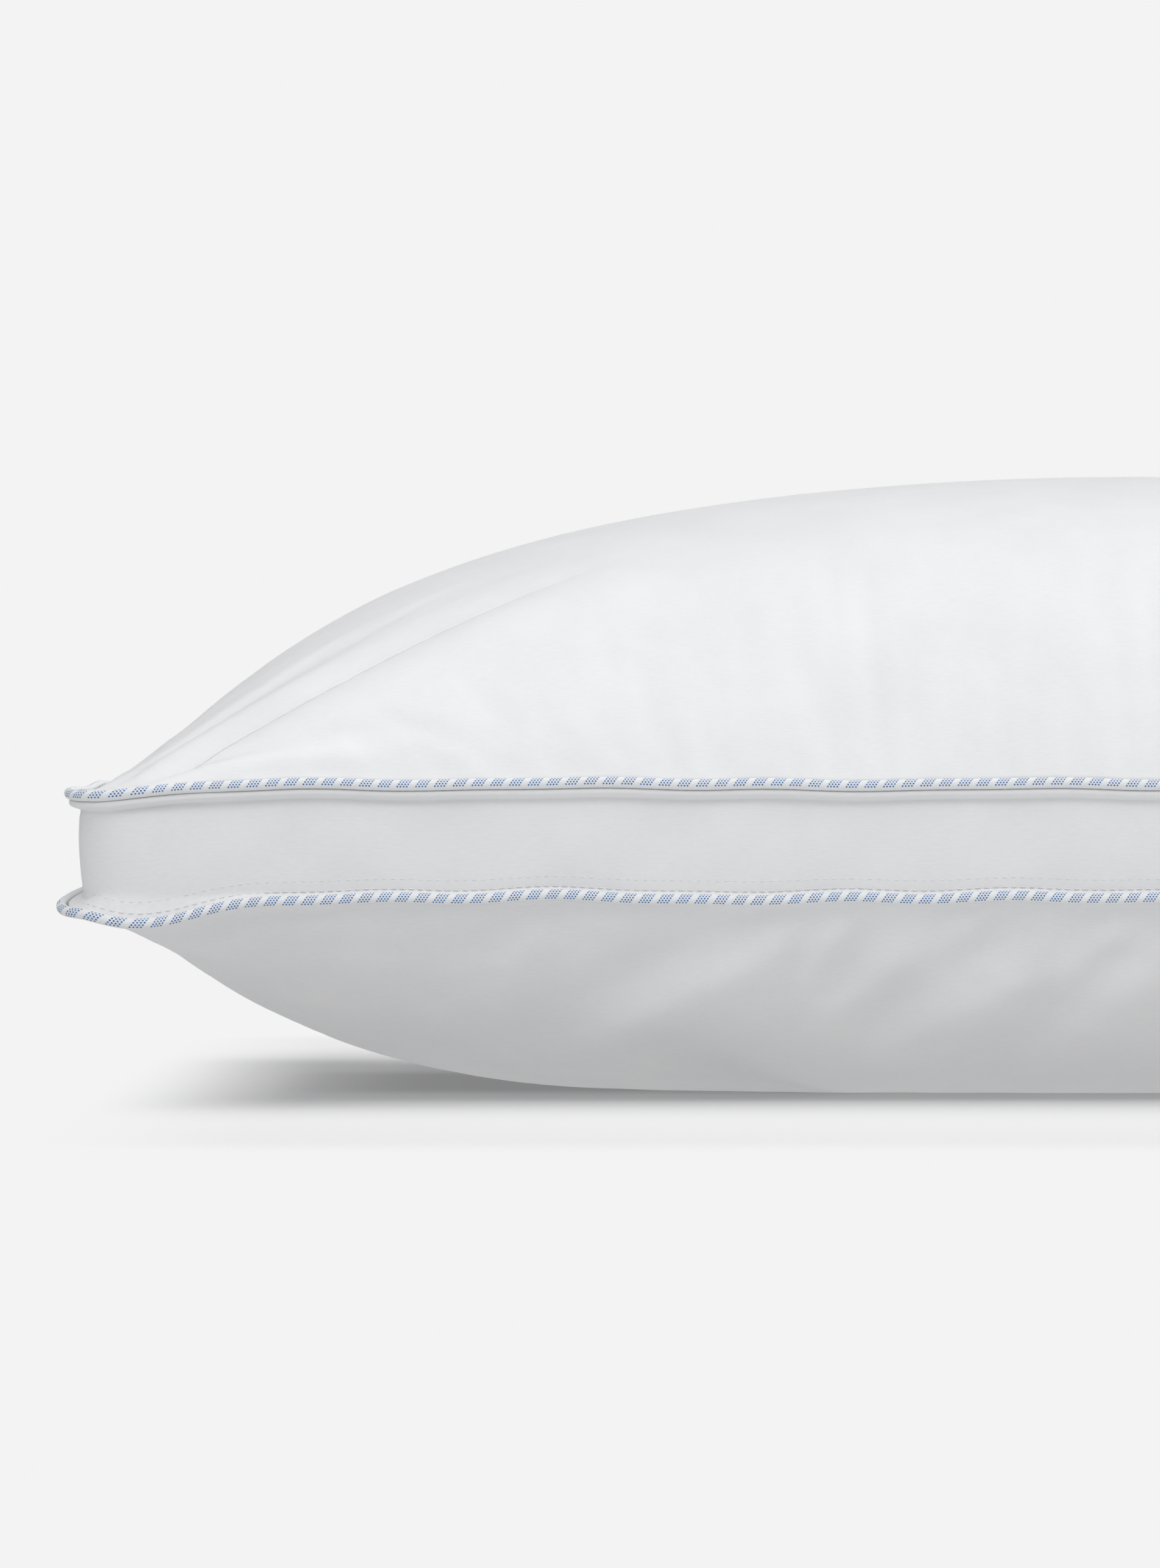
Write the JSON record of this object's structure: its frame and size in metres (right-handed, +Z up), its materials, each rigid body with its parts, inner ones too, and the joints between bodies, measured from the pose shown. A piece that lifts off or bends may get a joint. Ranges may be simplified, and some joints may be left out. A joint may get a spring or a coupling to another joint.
{
  "type": "bed pillow",
  "caption": "Soft rectangular bed pillow with a boxed side band, patterned piping in both seams and a crowned top, lying flat.",
  "frame": {"origin": "under the middle of the pillow, on the surface that it rests on", "axes": "+Z up; X along the long side; -Y towards the front long side"},
  "size_m": [0.7454, 0.4924, 0.2204],
  "materials": {
    "ticking": "satin",
    "piping": "matte",
    "cord": "matte",
    "thread": "satin",
    "label": "satin",
    "fibre": "matte"
  },
  "bodies": {
    "root": {"top_panel": "ticking", "bottom_panel": "ticking", "gusset_front_strip": "ticking", "gusset_back_strip": "ticking", "gusset_join_threads": "thread", "upper_piping_cover": "piping", "upper_piping_cord": "cord", "lower_piping_cover": "piping", "lower_piping_cord": "cord", "upper_seam_thread": "thread", "lower_seam_thread": "thread", "closing_seam_thread": "thread", "care_label": "label", "fibre_fill": "fibre"}
  },
  "joints": []
}
